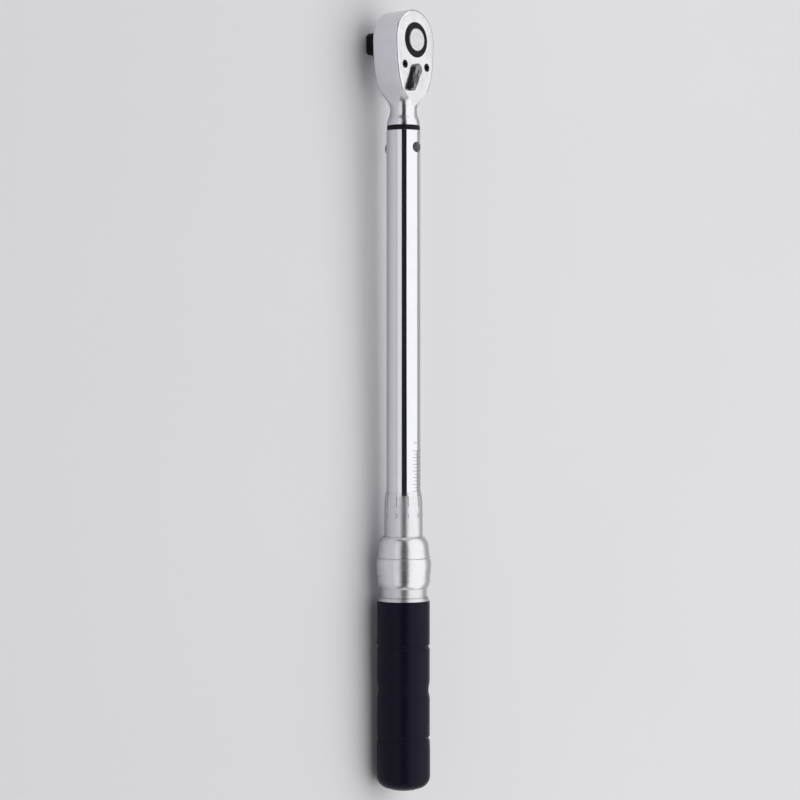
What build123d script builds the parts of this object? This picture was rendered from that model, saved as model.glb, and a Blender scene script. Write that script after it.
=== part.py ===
"""Click torque wrench with a reversible ratchet head, a micrometer handle and a half-inch square drive.

All sizes are in millimetres. The origin is on the drive axis in the middle of the head's thickness,
+X runs along the wrench towards the grip, and +Z leaves the face that carries the reversing lever.
"""

import math
import os

from build123d import *

os.makedirs("parts", exist_ok=True)

# ---- general fits ----
run_gap = 0.06  # radial clearance of a turning or sliding fit
seat_gap = 0.1  # play between faces of parts that are screwed together

# ---- ratchet head ----
head_r = 18.2  # reach of the round end in front of the drive axis
head_w = 17.7  # half width at the drive axis
head_t = 19.4
top_z = head_t / 2
head_edge_r = 1.5
flank = [(0, head_w), (8.0, 17.45), (17.4, 16.4), (24.9, 14.5), (30.3, 11.9), (36.0, 8.9), (41.0, 8.5)]
taper = [(14, 22), (24.9, 17.6), (28.3, 15.7), (31.9, 13.0), (35.4, 10.3), (38.4, 8.65)]
crown = [(23.0, top_z), (30.0, 9.45), (35.5, 8.75), (41.0, 8.2)]
neck_x = 41.0
neck_r = 8.15  # round neck
collar_r = 9.95
collar_x0 = 49.0  # start of the collar's straight band
collar_x1 = 50.8  # shoulder that the seal sits on

# ---- drive gear ----
teeth = 36
gear_tip_r = 12.4
gear_root_r = 11.4
cavity_r = 12.75
floor_z = -5.5  # floor of the head's cavity
plate_t = 2.2
plate_z = top_z - plate_t
gear_play = 0.1
ring_r = 10.5  # upper journal, seen as the ring round the button
ring_z = top_z - 0.4
lower_journal_r = 9.6
square_w = 12.7
square_chamfer = 1.3
square_z0 = -10.4
square_tip_z = -24.6
tip_chamfer = 1.0

# ---- quick release ----
button_r = 6.85
button_top_z = 11.0
button_bottom_z = 5.6
button_pocket_r = 7.0
button_pocket_z = 0.5
button_stroke = 3.0
button_recess_r = 5.5
button_recess_z = 8.0
pin_r = 2.6
pin_spigot_r = 1.8
pin_spigot_z = 10.0
pin_bore_r = pin_r + run_gap
pin_bore_z = -22.8
ball_r = 2.4
ball_proud = 0.9
ball_travel = 1.0
ball_z = -17.0
ball_gap = 0.03
ball_lip_r = 1.95
pin_neck_r = 1.38
button_wire = 0.8
button_coil_r = 4.3

# ---- reversing lever and pawl ----
lever_x = 18.0
lever_angle = -25.0  # where the tip stands at rest, from +X
lever_boss_r = 3.75
lever_tip_r = 1.9
stem_r = 3.0
stem_foot_r = 2.2
stem_foot_depth = 1.7
lever_len = 14.2
lever_t = 2.2
lever_tab_h = 3.2
lever_edge = 0.7
lever_slot = (4.4, 1.0, 0.45)
pawl_hub_r = 5.2
pawl_outer_r = 15.0
pawl_half_angle = 46.0
pawl_rock = 3.7  # each way from its middle position
pawl_gap = 0.08
pocket_outer_r = 16.1
pocket_half_angle = 50.0
detent_ball_r = 1.1
detent_ball_x = 2.3
detent_groove_r = 3.6
detent_wire = 0.35
detent_coil_r = 0.75

# ---- cover plate and its screws ----
plate_r = 15.6
plate_ear_r = 3.6
plate_nose_r = 7.1
screw_x = 15.5
screw_y = 10.2
screw_shank_r = 1.45
screw_head_r = 2.4
sink_angle = 90
screw_tip_z = -1.5
socket_af = 2.0
socket_depth = 1.3

# ---- tube ----
tube_r = 10.3
bore_r = 8.3
tube_x0 = 53.6
tube_x1 = 395.0
tube_chamfer = 0.4
flutes = 10
flute_r = 1.3
flute_depth = 0.5
flute_x0 = 276.0
flute_x1 = 314.0
engraving = 0.14
line_w = 0.35

# ---- head pivot and seal ----
pivot_x = 64.0
pivot_r = 3.15
pivot_top_z = 10.9
pivot_bottom_z = -10.5
rivet_r = 4.2
rivet_z = -11.4
seal_gap = 0.1
shank_r = 7.5
shank_x1 = 75.0

# ---- click mechanism ----
tail_x = 118.0  # face that the block bears on
tail_w = 9.2
tail_h = 9.6
ledge = 0.6
block_l = 8.0
block_w = 7.0
block_h = 8.0
block_side_gap = 0.3
block_end_gap = 0.12
plunger_r = 8.22
plunger_x1 = 156.0
spigot_r = 4.8
spigot_l = 7.0
spring_wire = 2.6
spring_coil_r = 6.6
spring_pitch = 8.0

# ---- setting mechanism ----
follower_x0 = 318.0
follower_x1 = 330.0
thrust_ball_r = 3.0
thrust_gap = 2.0
set_screw_r = 5.0
set_screw_x1 = 424.0
set_spigot_r = 4.0
set_spigot_x1 = 438.0
tube_nut_x0 = 374.0
tube_nut_x1 = 392.0
nut_pin_r = 1.5
lock_nut_af = 13.0
lock_nut_t = 6.0
screw_pitch = 2.0
turns = 12

# ---- thimble ----
thimble_x0 = 270.0
bevel_x1 = 276.0
edge_r = 10.65
thimble_front_r = 11.4
thimble_rear_r = 11.65
sleeve_bore_r = tube_r + 0.12
sleeve_r = 11.4
sleeve_x1 = 345.0
mark_x1 = 279.0
divisions = 10

# ---- lock ring ----
ring_x0 = 296.7
ring_x1 = 327.9
ring_stroke = 3.0
ring_profile = [
    (296.9, 12.6), (299.1, 14.2), (301.5, 15.0), (304.5, 15.4), (307.6, 15.75), (309.2, 16.1),
]
ring_rib = [
    (310.0, 16.35), (311.7, 16.65), (313.5, 16.8), (316.5, 16.62), (319.5, 16.37), (322.0, 16.1),
]
ring_nose_r = 14.45
web_x0 = 308.6
web_x1 = 310.8
cavity_x0 = 301.0
ring_cavity_r = 13.5
land_x0 = 302.4
land_x1 = 304.8
land_r = 12.3
rear_bore_r = 14.18
finger_x0 = 302.6
finger_x1 = 308.4
finger_t = 0.7
finger_w = 3.4
nose_x = 304.0
nose_r = 0.8
window_r = 1.4
finger_base_x = 306.6
return_wire = 1.3
return_coil_r = 12.8

# ---- handle core and grip ----
core_x0 = 321.0
core_front_r = 14.1
core_flare_x = 331.6
core_groove_x = 333.2
grip_x0 = 335.3
grip_x1 = 447.6
core_rear_x = 438.0
core_r = 13.0
core_bore_r = 10.8
bulkhead_x0 = 424.0
bulkhead_x1 = 430.0
nut_pocket_r = 9.0
grip_r = 15.8
grip_rear_r = 16.0
grip_groove_x = [362.7, 417.6]
grip_groove_half = 1.4
grip_groove_depth = 0.6
waist_x0 = 383.4
waist_x1 = 394.2
waist_r = 15.05
plug_r = 8.6
plug_flange_r = 10.4
plug_flange_t = 3.0
plug_x1 = 448.2


def along_x(radius, start, length):
    """A cylinder on the wrench's axis, for use inside a part."""
    with Locations(Location((start, 0, 0), (0, 90, 0))):
        Cylinder(radius, length, align=(Align.CENTER, Align.CENTER, Align.MIN))


def bore_x(radius, start, length):
    """A hole on the wrench's axis."""
    with Locations(Location((start, 0, 0), (0, 90, 0))):
        Cylinder(radius, length, align=(Align.CENTER, Align.CENTER, Align.MIN), mode=Mode.SUBTRACT)


def star(tip, root, turned, count):
    """Corner points of a toothed wheel with one tooth on its +X side, turned by some degrees."""
    points = []
    for n in range(2 * count):
        angle = math.radians(180.0 * n / count + turned)
        radius = tip if n % 2 == 0 else root
        points.append((radius * math.cos(angle), radius * math.sin(angle)))
    return points


# ---- head: round end, neck, collar, and the tail that runs inside the tube ----
with BuildPart() as ratchet_head:
    with BuildSketch():
        with BuildLine():
            EllipticalCenterArc((0, 0), head_r, head_w, start_angle=90, arc_size=90)
            Spline(*flank, tangents=((1, 0), (1, 0)))
            Line(flank[-1], (neck_x, 0))
            Line((neck_x, 0), (-head_r, 0))
        make_face()
        mirror(about=Plane.XZ)
    extrude(amount=head_t, both=True)
    with BuildSketch(Plane.XZ):
        with BuildLine():
            Polyline((neck_x, 0), (-2 * head_r, 0), (-2 * head_r, top_z), crown[0])
            Spline(*crown, tangents=((1, 0), (1, -0.08)))
            Line(crown[-1], (neck_x, 0))
        make_face()
        mirror(about=Plane.XZ)
    extrude(amount=2 * head_r, both=True, mode=Mode.INTERSECT)
    rim = ratchet_head.edges().filter_by(lambda e: abs(e.center().Z) > neck_r - 0.5)
    fillet(rim.filter_by(GeomType.LINE, reverse=True), radius=head_edge_r)
    with BuildSketch(Plane.XY):
        with BuildLine():
            Polyline((neck_x, neck_r), (neck_x, 0), (-30, 0), (-30, 30), (14, 30), (14, 22))
            Spline(*taper, (neck_x, neck_r), tangents=((1, -0.3), (1, -0.05)))
        make_face()
    revolve(axis=Axis.X, mode=Mode.INTERSECT)
    with BuildSketch(Plane.XY):
        with BuildLine():
            Polyline((collar_x0, collar_r), (collar_x1, collar_r), (collar_x1, shank_r))
            Polyline((collar_x1, shank_r), (shank_x1, shank_r), (shank_x1, 0), (neck_x, 0))
            Line((neck_x, 0), (neck_x, neck_r))
            Spline((neck_x, neck_r), (45.2, 8.8), (collar_x0, collar_r), tangents=((1, 0.0), (1, 0.1)))
        make_face()
    revolve(axis=Axis.X)
    with Locations((shank_x1 - 6, 0, 0)):
        Box(
            tail_x + ledge - shank_x1 + 6, tail_w, tail_h,
            align=(Align.MIN, Align.CENTER, Align.CENTER),
        )
    with Locations((tail_x, 0, 0)):
        Box(
            block_l, block_w + 2 * block_side_gap, head_t,
            align=(Align.MIN, Align.CENTER, Align.CENTER), mode=Mode.SUBTRACT,
        )
    with Locations((0, 0, floor_z)):
        Cylinder(
            cavity_r, head_t, align=(Align.CENTER, Align.CENTER, Align.MIN), mode=Mode.SUBTRACT
        )
    Cylinder(lower_journal_r + run_gap, 2 * head_t, mode=Mode.SUBTRACT)
    with BuildSketch(Plane.XY.offset(floor_z)):
        Circle(pocket_outer_r)
        side = math.radians(pocket_half_angle)
        along = 2 * pocket_outer_r * math.cos(side)
        across = 2 * pocket_outer_r * math.sin(side)
        Polygon((0, 0), (along, -across), (along, across), align=None, mode=Mode.INTERSECT)
        with Locations((lever_x, 0)):
            Circle(pawl_hub_r + 0.4)
    extrude(amount=head_t, mode=Mode.SUBTRACT)
    with BuildSketch(Plane.XY.offset(plate_z)):
        Circle(plate_r + seat_gap)
        with Locations((screw_x, screw_y), (screw_x, -screw_y)):
            Circle(plate_ear_r + seat_gap)
        with Locations((lever_x, 0)):
            Circle(plate_nose_r + seat_gap)
        make_hull()
    extrude(amount=head_t, mode=Mode.SUBTRACT)
    with Locations((screw_x, screw_y, plate_z), (screw_x, -screw_y, plate_z)):
        Cylinder(
            screw_shank_r, plate_z - screw_tip_z + 0.5,
            align=(Align.CENTER, Align.CENTER, Align.MAX), mode=Mode.SUBTRACT,
        )
    with Locations((lever_x, 0, floor_z)):
        Cylinder(
            stem_foot_r + run_gap, stem_foot_depth + 0.1,
            align=(Align.CENTER, Align.CENTER, Align.MAX), mode=Mode.SUBTRACT,
        )
    with Locations((pivot_x, 0, 0)):
        Cylinder(pivot_r + run_gap, 4 * head_t, mode=Mode.SUBTRACT)
ratchet_head.part.label = "ratchet_head"
export_step(ratchet_head.part, "parts/ratchet_head.step")

# ---- cover plate, flush in the head's face ----
with BuildPart() as cover_plate:
    with BuildSketch(Plane.XY.offset(plate_z)):
        Circle(plate_r)
        with Locations((screw_x, screw_y), (screw_x, -screw_y)):
            Circle(plate_ear_r)
        with Locations((lever_x, 0)):
            Circle(plate_nose_r)
        make_hull()
    extrude(amount=plate_t)
    Cylinder(ring_r + run_gap, 4 * head_t, mode=Mode.SUBTRACT)
    with Locations((lever_x, 0, 0)):
        Cylinder(lever_boss_r + run_gap, 4 * head_t, mode=Mode.SUBTRACT)
    with Locations((screw_x, screw_y, top_z - 0.15), (screw_x, -screw_y, top_z - 0.15)):
        CounterSinkHole(
            screw_shank_r + seat_gap, screw_head_r + seat_gap, counter_sink_angle=sink_angle
        )
        Cylinder(
            screw_head_r + seat_gap, 1, align=(Align.CENTER, Align.CENTER, Align.MIN),
            mode=Mode.SUBTRACT,
        )
cover_plate.part.label = "cover_plate"
export_step(cover_plate.part, "parts/cover_plate.step")

# ---- the plate's two countersunk socket screws ----
with BuildPart() as cover_screws:
    with BuildSketch(Plane.XZ):
        with BuildLine():
            Polyline(
                (0, top_z - 0.1), (screw_head_r, top_z - 0.1), (screw_head_r, top_z - 0.25),
                (screw_shank_r, top_z - 0.25 - (screw_head_r - screw_shank_r)),
                (screw_shank_r, screw_tip_z), (0, screw_tip_z), close=True,
            )
        make_face()
    revolve(axis=Axis.Z)
    with BuildSketch(Plane.XY.offset(top_z)):
        RegularPolygon(socket_af / 2, 6, major_radius=False)
    extrude(amount=-socket_depth, mode=Mode.SUBTRACT)
    one = cover_screws.part
    with Locations((screw_x, screw_y, 0), (screw_x, -screw_y, 0)):
        add(one, mode=Mode.REPLACE)
cover_screws.part.label = "cover_screws"
export_step(cover_screws.part, "parts/cover_screws.step")

# ---- drive gear: toothed wheel, ring-shaped upper journal and square drive in one ----
ball_x = square_w / 2 + ball_proud - ball_r
with BuildPart() as drive_gear:
    with BuildSketch(Plane.XY.offset(floor_z + gear_play)):
        Polygon(*star(gear_tip_r, gear_root_r, 0, teeth), align=None)
    extrude(amount=plate_z - floor_z - 2 * gear_play)
    with Locations((0, 0, plate_z - 1)):
        Cylinder(ring_r, ring_z - plate_z + 1, align=(Align.CENTER, Align.CENTER, Align.MIN))
    chamfer(drive_gear.edges().filter_by(GeomType.CIRCLE).sort_by(Axis.Z)[-1], length=0.3)
    with Locations((0, 0, floor_z + 1)):
        Cylinder(
            lower_journal_r, floor_z + 1 - square_z0, align=(Align.CENTER, Align.CENTER, Align.MAX)
        )
    with BuildSketch(Plane.XY.offset(square_z0 + 0.5)):
        Rectangle(square_w, square_w)
        chamfer(vertices(), square_chamfer)
    extrude(amount=square_tip_z - square_z0 - 0.5)
    chamfer(drive_gear.faces().sort_by(Axis.Z)[0].edges(), length=tip_chamfer)
    with Locations((0, 0, button_pocket_z)):
        Cylinder(
            button_pocket_r, head_t, align=(Align.CENTER, Align.CENTER, Align.MIN), mode=Mode.SUBTRACT
        )
    with Locations((0, 0, pin_bore_z)):
        Cylinder(
            pin_bore_r, 2 * head_t, align=(Align.CENTER, Align.CENTER, Align.MIN), mode=Mode.SUBTRACT
        )
    with Locations(Location((0, 0, ball_z), (0, 90, 0))):
        Cylinder(
            ball_r + run_gap, ball_x + 0.5, align=(Align.CENTER, Align.CENTER, Align.MIN),
            mode=Mode.SUBTRACT,
        )
    with Locations(Location((ball_x + 0.5, 0, ball_z), (0, 90, 0))):
        Cone(
            ball_r + run_gap, ball_lip_r, square_w / 2 - ball_x - 0.5,
            align=(Align.CENTER, Align.CENTER, Align.MIN), mode=Mode.SUBTRACT,
        )
drive_gear.part.label = "drive_gear"
export_step(drive_gear.part, "parts/drive_gear.step")

# ---- release button ----
with BuildPart() as release_button:
    with Locations((0, 0, button_bottom_z)):
        Cylinder(
            button_r, button_top_z - button_bottom_z, align=(Align.CENTER, Align.CENTER, Align.MIN)
        )
    fillet(release_button.edges().filter_by(GeomType.CIRCLE).sort_by(Axis.Z)[-1], radius=0.9)
    with Locations((0, 0, button_bottom_z)):
        Cylinder(
            button_recess_r, button_recess_z - button_bottom_z,
            align=(Align.CENTER, Align.CENTER, Align.MIN), mode=Mode.SUBTRACT,
        )
        Cylinder(
            pin_spigot_r, pin_spigot_z - button_bottom_z,
            align=(Align.CENTER, Align.CENTER, Align.MIN), mode=Mode.SUBTRACT,
        )
release_button.part.label = "release_button"
export_step(release_button.part, "parts/release_button.step")

# ---- release pin: its long cone lets the ball sink as the button goes down ----
slope = ball_travel / button_stroke
lean = math.cos(math.atan(slope))
cone_mid_r = ball_x - (ball_r + ball_gap) / lean
cone_z0 = ball_z - (pin_r - cone_mid_r) / slope
cone_z1 = ball_z + (cone_mid_r - pin_neck_r) / slope
neck_z1 = ball_z + button_stroke + ball_r
with BuildPart() as release_pin:
    with BuildSketch(Plane.XZ):
        with BuildLine():
            Polyline(
                (0, cone_z0 - 0.8), (pin_r, cone_z0 - 0.8), (pin_r, cone_z0), (pin_neck_r, cone_z1),
                (pin_neck_r, neck_z1), (pin_r, neck_z1 + 1.2), (pin_r, button_recess_z),
                (pin_spigot_r, button_recess_z), (pin_spigot_r, pin_spigot_z), (0, pin_spigot_z),
                close=True,
            )
        make_face()
    revolve(axis=Axis.Z)
release_pin.part.label = "release_pin"
export_step(release_pin.part, "parts/release_pin.step")

# ---- button spring ----
with BuildPart() as button_spring:
    with BuildLine(mode=Mode.PRIVATE) as button_coil:
        Helix(
            1.7, button_recess_z - button_pocket_z - button_wire - 0.1, button_coil_r,
            center=(0, 0, button_pocket_z + button_wire / 2 + 0.05),
        )
    with BuildSketch(Plane(origin=button_coil.line @ 0, z_dir=button_coil.line % 0)):
        Circle(button_wire / 2)
    sweep(path=button_coil.line)
button_spring.part.label = "button_spring"
export_step(button_spring.part, "parts/button_spring.step")

# ---- ball that holds the socket ----
with BuildPart() as drive_ball:
    with Locations((ball_x, 0, ball_z)):
        Sphere(ball_r)
drive_ball.part.label = "drive_ball"
export_step(drive_ball.part, "parts/drive_ball.step")

# ---- pawl: two toothed wings that rock about the lever's stem ----
with BuildPart() as pawl:
    with BuildSketch(Plane.XY.offset(floor_z + gear_play)):
        wing = math.radians(pawl_half_angle)
        Circle(pawl_outer_r)
        Polygon(
            (0, 0), (2 * head_r * math.cos(wing), -2 * head_r * math.sin(wing)),
            (2 * head_r * math.cos(wing), 2 * head_r * math.sin(wing)),
            align=None, mode=Mode.INTERSECT,
        )
        with Locations((lever_x, 0)):
            Circle(pawl_hub_r)
    extrude(amount=plate_z - floor_z - 2 * gear_play)
    for rock in (pawl_rock, -pawl_rock):
        shift = math.radians(rock)
        centre = (lever_x - lever_x * math.cos(shift), lever_x * math.sin(shift))
        with BuildSketch(Plane.XY.offset(-head_t)):
            with Locations(Location((centre[0], centre[1], 0), (0, 0, -rock))):
                Polygon(
                    *star(gear_tip_r + pawl_gap, gear_root_r + pawl_gap, 0, teeth), align=None
                )
        extrude(amount=2 * head_t, mode=Mode.SUBTRACT)
        with BuildSketch(Plane.XY.offset(-head_t)):
            with Locations(centre):
                Circle(gear_tip_r + 0.35)
            Rectangle(3 * head_r, 2 * pawl_hub_r, mode=Mode.INTERSECT)
        extrude(amount=2 * head_t, mode=Mode.SUBTRACT)
    with Locations((lever_x, 0, 0)):
        Cylinder(stem_r + run_gap, 2 * head_t, mode=Mode.SUBTRACT)
        Cylinder(detent_groove_r, 2 * detent_ball_r + 0.3, mode=Mode.SUBTRACT)
pawl_rest = pawl.part.moved(
    Pos(lever_x, 0, 0) * Rot(0, 0, pawl_rock) * Pos(-lever_x, 0, 0)
)
pawl_rest.label = "pawl"
export_step(pawl_rest, "parts/pawl.step")

# ---- reversing lever: stem, boss and thumb tab ----
lever_z0 = top_z + 0.15
with BuildPart() as reversing_lever:
    with BuildSketch(Plane.XY.offset(lever_z0)):
        Circle(lever_boss_r)
        with Locations((lever_len - lever_tip_r, 0)):
            Circle(lever_tip_r)
        make_hull()
    extrude(amount=lever_tab_h)
    with BuildSketch(Plane.XZ):
        with BuildLine():
            Polyline(
                (-20, lever_z0 + lever_t), (lever_boss_r, lever_z0 + lever_t),
                (lever_len - 4.6, lever_z0 + lever_tab_h), (20, lever_z0 + lever_tab_h), (20, 30),
                (-20, 30), close=True,
            )
        make_face()
    extrude(amount=20, both=True, mode=Mode.SUBTRACT)
    chamfer(
        reversing_lever.edges().filter_by(lambda e: e.center().Z > lever_z0 + 1.2)
        .filter_by(Axis.Z, reverse=True).filter_by(Axis.Y, reverse=True),
        length=lever_edge,
    )
    with Locations((lever_boss_r - 1.2, 0, lever_z0 + lever_t)):
        Box(
            lever_slot[0], lever_slot[1], 2 * lever_slot[2],
            mode=Mode.SUBTRACT,
        )
    with Locations((0, 0, plate_z - gear_play + 0.05)):
        Cylinder(
            lever_boss_r, top_z + 0.6 - plate_z, align=(Align.CENTER, Align.CENTER, Align.MIN)
        )
    with Locations((0, 0, floor_z + 0.05)):
        Cylinder(stem_r, top_z + 0.9 - floor_z, align=(Align.CENTER, Align.CENTER, Align.MIN))
    with Locations((0, 0, floor_z + 0.1)):
        Cylinder(stem_foot_r, stem_foot_depth, align=(Align.CENTER, Align.CENTER, Align.MAX))
    with Locations(Location((-stem_r + 1.2, 0, 0), (0, 90, 0))):
        Cylinder(
            detent_ball_r + run_gap, 2 * stem_r, align=(Align.CENTER, Align.CENTER, Align.MIN),
            mode=Mode.SUBTRACT,
        )
at_lever = Pos(lever_x, 0, 0) * Rot(0, 0, lever_angle)
lever_rest = reversing_lever.part.moved(at_lever)
lever_rest.label = "reversing_lever"
export_step(lever_rest, "parts/reversing_lever.step")

# ---- the lever's detent ball and spring, in the stem's cross hole ----
with BuildPart() as detent_ball:
    with Locations((detent_ball_x, 0, 0)):
        Sphere(detent_ball_r)
ball_rest = detent_ball.part.moved(at_lever)
ball_rest.label = "detent_ball"
export_step(ball_rest, "parts/detent_ball.step")
with BuildPart() as detent_spring:
    with BuildLine(mode=Mode.PRIVATE) as detent_coil:
        Helix(
            0.75, detent_ball_x - detent_ball_r + stem_r - 1.2 - 0.45, detent_coil_r,
            center=(-stem_r + 1.2 + 0.22, 0, 0), direction=(1, 0, 0),
        )
    with BuildSketch(Plane(origin=detent_coil.line @ 0, z_dir=detent_coil.line % 0)):
        Circle(detent_wire / 2)
    sweep(path=detent_coil.line)
spring_rest = detent_spring.part.moved(at_lever)
spring_rest.label = "detent_spring"
export_step(spring_rest, "parts/detent_spring.step")

# ---- tube ----
with BuildPart() as tube:
    along_x(tube_r, tube_x0, tube_x1 - tube_x0)
    chamfer(tube.edges().filter_by(GeomType.CIRCLE), length=tube_chamfer)
    bore_x(bore_r, tube_x0 - 1, tube_x1 - tube_x0 + 2)
    with Locations((pivot_x, 0, 0)):
        Cylinder(pivot_r + 0.01, 4 * head_t, mode=Mode.SUBTRACT)
    with BuildSketch(Plane.YZ.offset(flute_x0)):
        with PolarLocations(tube_r - flute_depth + flute_r, flutes, start_angle=90):
            Circle(flute_r)
    extrude(amount=flute_x1 - flute_x0, mode=Mode.SUBTRACT)
    for n in range(turns + 1):
        reach = math.radians(18 if n % 2 == 0 else 12)
        with BuildSketch(Plane.YZ.offset(thimble_x0 - 0.7 - screw_pitch * n)):
            Circle(tube_r + 0.5)
            Circle(tube_r - engraving, mode=Mode.SUBTRACT)
            Polygon(
                (0, 0), (20 * math.sin(reach), 20 * math.cos(reach)),
                (-20 * math.sin(reach), 20 * math.cos(reach)), align=None, mode=Mode.INTERSECT,
            )
        extrude(amount=line_w, mode=Mode.SUBTRACT)
    with Locations((thimble_x0 - 0.7, 0, tube_r - engraving)):
        Box(
            screw_pitch * turns, line_w, 1.0,
            align=(Align.MAX, Align.CENTER, Align.MIN), mode=Mode.SUBTRACT,
        )
    nut_mid = (tube_nut_x0 + tube_nut_x1) / 2
    with Locations(Location((nut_mid, 0, bore_r - 3), (0, 0, 0))):
        Cylinder(
            nut_pin_r + 0.01, 10, align=(Align.CENTER, Align.CENTER, Align.MIN), mode=Mode.SUBTRACT
        )
tube.part.label = "tube"
export_step(tube.part, "parts/tube.step")

# ---- pivot pin, riveted over at its lower end ----
with BuildPart() as pivot_pin:
    with BuildSketch(Plane.XZ):
        with BuildLine():
            Polyline(
                (0, rivet_z), (rivet_r * 0.55, rivet_z), (rivet_r, rivet_z + 0.55),
                (rivet_r, pivot_bottom_z), (pivot_r, pivot_bottom_z), (pivot_r, pivot_top_z - 0.45),
                (pivot_r - 0.45, pivot_top_z), (0, pivot_top_z), close=True,
            )
        make_face()
    revolve(axis=Axis.Z)
pin_rest = pivot_pin.part.moved(Pos(pivot_x, 0, 0))
pin_rest.label = "pivot_pin"
export_step(pin_rest, "parts/pivot_pin.step")

# ---- rubber seal between the collar and the tube ----
with BuildPart() as neck_seal:
    along_x(collar_r - 0.05, collar_x1, tube_x0 - collar_x1 - seal_gap)
    fillet(neck_seal.edges().filter_by(GeomType.CIRCLE), radius=0.45)
    bore_x(shank_r, collar_x1 - 1, 10)
neck_seal.part.label = "neck_seal"
export_step(neck_seal.part, "parts/neck_seal.step")

# ---- tilting block ----
with BuildPart() as tilt_block:
    with Locations((tail_x, 0, 0)):
        Box(block_l, block_w, block_h, align=(Align.MIN, Align.CENTER, Align.CENTER))
    chamfer(tilt_block.edges().filter_by(Axis.X), length=0.5)
tilt_block.part.label = "tilt_block"
export_step(tilt_block.part, "parts/tilt_block.step")

# ---- plunger between the block and the main spring ----
block_end = tail_x + block_l
with BuildPart() as spring_plunger:
    along_x(plunger_r, block_end + block_end_gap - ledge, plunger_x1 - block_end - block_end_gap + ledge)
    chamfer(spring_plunger.edges().filter_by(GeomType.CIRCLE), length=0.5)
    along_x(spigot_r, plunger_x1 - 1, spigot_l + 1)
    with Locations((block_end + block_end_gap, 0, 0)):
        Box(
            block_l, block_w + 2 * block_side_gap, head_t + 4,
            align=(Align.MAX, Align.CENTER, Align.CENTER), mode=Mode.SUBTRACT,
        )
spring_plunger.part.label = "spring_plunger"
export_step(spring_plunger.part, "parts/spring_plunger.step")

# ---- main spring ----
with BuildPart() as main_spring:
    with BuildLine(mode=Mode.PRIVATE) as main_coil:
        Helix(
            spring_pitch, follower_x0 - plunger_x1 - spring_wire - 0.2, spring_coil_r,
            center=(plunger_x1 + spring_wire / 2 + 0.1, 0, 0), direction=(1, 0, 0),
        )
    with BuildSketch(Plane(origin=main_coil.line @ 0, z_dir=main_coil.line % 0)):
        Circle(spring_wire / 2)
    sweep(path=main_coil.line)
main_spring.part.label = "main_spring"
export_step(main_spring.part, "parts/main_spring.step")

# ---- spring follower and its thrust ball ----
thrust_x = follower_x1 + thrust_gap / 2
seat_r = thrust_ball_r + 0.02
seat_mouth = math.sqrt(seat_r**2 - (thrust_gap / 2) ** 2)
with BuildPart() as spring_follower:
    with BuildSketch(Plane.XY):
        with BuildLine():
            Polyline(
                (thrust_x - seat_r, 0), (follower_x0 - spigot_l, 0), (follower_x0 - spigot_l, spigot_r),
                (follower_x0, spigot_r), (follower_x0, plunger_r - 0.5), (follower_x0 + 0.5, plunger_r),
                (follower_x1 - 0.5, plunger_r), (follower_x1, plunger_r - 0.5), (follower_x1, seat_mouth),
            )
            ThreePointArc(
                (follower_x1, seat_mouth),
                (thrust_x - seat_r * math.cos(0.6), seat_r * math.sin(0.6)), (thrust_x - seat_r, 0),
            )
        make_face()
    revolve(axis=Axis.X)
spring_follower.part.label = "spring_follower"
export_step(spring_follower.part, "parts/spring_follower.step")
with BuildPart() as thrust_ball:
    with Locations((thrust_x, 0, 0)):
        Sphere(thrust_ball_r)
thrust_ball.part.label = "thrust_ball"
export_step(thrust_ball.part, "parts/thrust_ball.step")

# ---- setting screw ----
cup_r = thrust_ball_r + run_gap
cup_mouth = math.sqrt(cup_r**2 - (thrust_gap / 2) ** 2)
screw_x0 = follower_x1 + thrust_gap
with BuildPart() as setting_screw:
    with BuildSketch(Plane.XY):
        with BuildLine():
            ThreePointArc(
                (thrust_x + cup_r, 0), (thrust_x + cup_r * math.cos(0.6), cup_r * math.sin(0.6)),
                (screw_x0, cup_mouth),
            )
            Polyline(
                (screw_x0, cup_mouth), (screw_x0, set_screw_r - 0.8), (screw_x0 + 0.8, set_screw_r),
                (set_screw_x1, set_screw_r), (set_screw_x1, set_spigot_r),
                (set_spigot_x1 - 0.6, set_spigot_r), (set_spigot_x1, set_spigot_r - 0.6),
                (set_spigot_x1, 0), (thrust_x + cup_r, 0),
            )
        make_face()
    revolve(axis=Axis.X)
setting_screw.part.label = "setting_screw"
export_step(setting_screw.part, "parts/setting_screw.step")

# ---- nut fixed in the tube, and the pin that holds it ----
with BuildPart() as tube_nut:
    along_x(bore_r - 0.02, tube_nut_x0, tube_nut_x1 - tube_nut_x0)
    chamfer(tube_nut.edges().filter_by(GeomType.CIRCLE), length=0.6)
    bore_x(set_screw_r + run_gap, tube_nut_x0 - 1, 30)
    with Locations((nut_mid, 0, set_screw_r + 0.6)):
        Cylinder(
            nut_pin_r + 0.01, 10, align=(Align.CENTER, Align.CENTER, Align.MIN), mode=Mode.SUBTRACT
        )
tube_nut.part.label = "tube_nut"
export_step(tube_nut.part, "parts/tube_nut.step")
with BuildPart() as nut_pin:
    with Locations((nut_mid, 0, set_screw_r + 0.65)):
        Cylinder(
            nut_pin_r, tube_r - 0.2 - set_screw_r - 0.65, align=(Align.CENTER, Align.CENTER, Align.MIN)
        )
nut_pin.part.label = "nut_pin"
export_step(nut_pin.part, "parts/nut_pin.step")

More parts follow.
